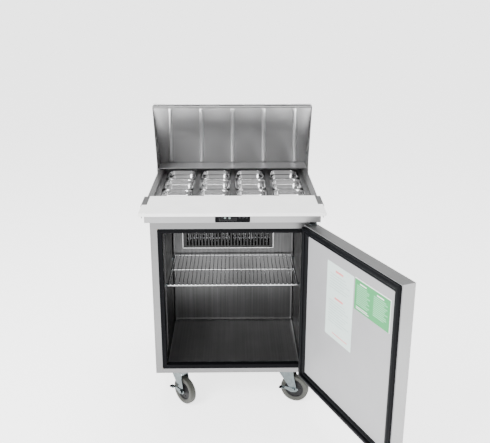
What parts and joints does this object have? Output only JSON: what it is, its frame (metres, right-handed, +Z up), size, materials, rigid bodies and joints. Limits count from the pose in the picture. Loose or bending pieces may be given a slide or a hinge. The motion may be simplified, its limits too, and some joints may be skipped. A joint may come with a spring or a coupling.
{
  "type": "sandwich prep table",
  "caption": "Refrigerated one-door sandwich prep table on casters, with a pan top, cutting board and folding hood, for a food truck or a small kitchen.",
  "frame": {"origin": "on the floor, under the middle of the cabinet's front face", "axes": "+X to the right seen from the front, +Y from the front to the back, +Z up, out of the cutting board's top"},
  "size_m": [0.9512, 1.3332, 1.2773],
  "materials": {
    "stainless": "brushed, satin",
    "liner_steel": "brushed",
    "black_plastic": "moulded, satin",
    "foam": "closed-cell foam",
    "dark_steel": "dull",
    "pan_steel": "bright drawn",
    "board_plastic": "fine matt texture",
    "black_rubber": "matt",
    "display_lens": "gloss",
    "button_plastic": "satin",
    "wire_chrome": "bright plated",
    "motor_black": "satin paint",
    "coil_aluminium": "mill finish",
    "door_steel": "brushed, satin",
    "door_liner": "smooth satin",
    "notice_card": "printed card",
    "hinge_steel": "satin",
    "bush_nylon": "natural",
    "lid_steel": "brushed, satin",
    "lid_liner": "polished",
    "zinc": "bright zinc plate",
    "wheel_rubber": "moulded",
    "brake_steel": "bright zinc plate"
  },
  "bodies": {
    "cabinet": {"board_brackets": "dark_steel", "board_pads": "black_rubber", "breaker_strip": "black_plastic", "cabinet_insulation": "foam", "caster_plates": "zinc", "compressor": "motor_black", "condenser_coil": "coil_aluminium", "condenser_motor": "motor_black", "control_bezel": "black_plastic", "control_display": "display_lens", "cord_gland": "black_plastic", "divider_bars": "dark_steel", "door_hinges": "hinge_steel", "evaporator_coil": "coil_aluminium", "evaporator_cover": "liner_steel", "evaporator_motor": "motor_black", "face_frame": "stainless", "food_pans_front": "pan_steel", "food_pans_middle": "pan_steel", "food_pans_rear": "pan_steel", "interior_liner": "liner_steel", "lid_pivots": "hinge_steel", "machine_base": "stainless", "outer_shell": "stainless", "pan_well": "liner_steel", "rear_panel": "stainless", "shelf_clips": "liner_steel", "shelf_pilasters": "liner_steel", "top_frame": "stainless", "wire_shelf": "wire_chrome"},
    "door": {"door_skin": "door_steel", "door_insulation": "foam", "door_inner_panel": "door_liner", "door_gasket": "black_rubber", "notice_sheets": "notice_card", "door_bushes": "bush_nylon", "door_handle": "door_steel"},
    "lid": {"lid_skin": "lid_steel", "lid_insulation": "foam", "lid_inner_panel": "lid_liner", "fold_hinge_fixed": "hinge_steel"},
    "lid_front_leaf": {"lid_leaf": "lid_steel", "fold_hinge_moving": "hinge_steel", "lid_handle": "hinge_steel"},
    "board": {"cutting_board": "board_plastic"},
    "evaporator_rotor": {"evaporator_fan": "black_plastic"},
    "condenser_rotor": {"condenser_fan": "coil_aluminium"},
    "button_1": {"control_button_1": "button_plastic"},
    "button_2": {"control_button_2": "button_plastic"},
    "button_3": {"control_button_3": "button_plastic"},
    "caster_front_left": {"caster_fork_front_left": "zinc"},
    "wheel_front_left": {"caster_wheel_front_left": "wheel_rubber"},
    "caster_front_right": {"caster_fork_front_right": "zinc"},
    "wheel_front_right": {"caster_wheel_front_right": "wheel_rubber"},
    "caster_rear_left": {"caster_fork_rear_left": "zinc"},
    "wheel_rear_left": {"caster_wheel_rear_left": "wheel_rubber"},
    "caster_rear_right": {"caster_fork_rear_right": "zinc"},
    "wheel_rear_right": {"caster_wheel_rear_right": "wheel_rubber"},
    "brake_front_left": {"brake_pedal_front_left": "brake_steel"},
    "brake_front_right": {"brake_pedal_front_right": "brake_steel"}
  },
  "joints": [
    {"name": "door_hinge", "type": "hinge", "parent": "cabinet", "child": "door", "pos_m": [0.32, -0.05, 0.5], "axis": [0, 0, 1], "range_deg": [-113, 7]},
    {"name": "lid_tilt", "type": "hinge", "parent": "cabinet", "child": "lid", "pos_m": [0, 0.543, 1.0234], "axis": [1, 0, 0], "range_deg": [0, 71.7]},
    {"name": "lid_fold", "type": "hinge", "parent": "lid", "child": "lid_front_leaf", "pos_m": [0, 0.40217, 1.27121], "axis": [1, 0, 0], "range_deg": [0, 155.8]},
    {"name": "board_slide", "type": "slide", "parent": "cabinet", "child": "board", "axis": [0, -1, 0], "range_m": [0, 0.06]},
    {"name": "evaporator_fan_spin", "type": "hinge", "parent": "cabinet", "child": "evaporator_rotor", "pos_m": [-0.0235, 0.389, 0.704], "axis": [0, 1, 0], "continuous": true},
    {"name": "condenser_fan_spin", "type": "hinge", "parent": "cabinet", "child": "condenser_rotor", "pos_m": [-0.18, 0.577, 0.29], "axis": [0, 1, 0], "continuous": true},
    {"name": "button_1_press", "type": "slide", "parent": "cabinet", "child": "button_1", "axis": [0, 1, 0], "range_m": [0, 0.001], "stiffness_N_per_m": 300},
    {"name": "button_2_press", "type": "slide", "parent": "cabinet", "child": "button_2", "axis": [0, 1, 0], "range_m": [0, 0.001], "stiffness_N_per_m": 300},
    {"name": "button_3_press", "type": "slide", "parent": "cabinet", "child": "button_3", "axis": [0, 1, 0], "range_m": [0, 0.001], "stiffness_N_per_m": 300},
    {"name": "swivel_front_left", "type": "hinge", "parent": "cabinet", "child": "caster_front_left", "pos_m": [-0.24, 0.062, 0.15], "axis": [0, 0, 1], "continuous": true},
    {"name": "roll_front_left", "type": "hinge", "parent": "caster_front_left", "child": "wheel_front_left", "pos_m": [-0.21591, 0.03525, 0.0625], "axis": [-0.7431, -0.6691, 0], "continuous": true},
    {"name": "brake_front_left_press", "type": "hinge", "parent": "caster_front_left", "child": "brake_front_left", "pos_m": [-0.21591, 0.03525, 0.0625], "axis": [-0.7431, -0.6691, 0], "range_deg": [0, 12]},
    {"name": "swivel_front_right", "type": "hinge", "parent": "cabinet", "child": "caster_front_right", "pos_m": [0.24, 0.062, 0.15], "axis": [0, 0, 1], "continuous": true},
    {"name": "roll_front_right", "type": "hinge", "parent": "caster_front_right", "child": "wheel_front_right", "pos_m": [0.27338, 0.04851, 0.0625], "axis": [-0.3746, -0.9272, 0], "continuous": true},
    {"name": "brake_front_right_press", "type": "hinge", "parent": "caster_front_right", "child": "brake_front_right", "pos_m": [0.27338, 0.04851, 0.0625], "axis": [-0.3746, -0.9272, 0], "range_deg": [0, 12]},
    {"name": "swivel_rear_left", "type": "hinge", "parent": "cabinet", "child": "caster_rear_left", "pos_m": [-0.24, 0.6, 0.15], "axis": [0, 0, 1], "continuous": true},
    {"name": "roll_rear_left", "type": "hinge", "parent": "caster_rear_left", "child": "wheel_rear_left", "pos_m": [-0.20882, 0.582, 0.0625], "axis": [-0.5, -0.866, 0], "continuous": true},
    {"name": "swivel_rear_right", "type": "hinge", "parent": "cabinet", "child": "caster_rear_right", "pos_m": [0.24, 0.6, 0.15], "axis": [0, 0, 1], "continuous": true},
    {"name": "roll_rear_right", "type": "hinge", "parent": "caster_rear_right", "child": "wheel_rear_right", "pos_m": [0.27493, 0.59129, 0.0625], "axis": [-0.2419, -0.9703, 0], "continuous": true}
  ]
}
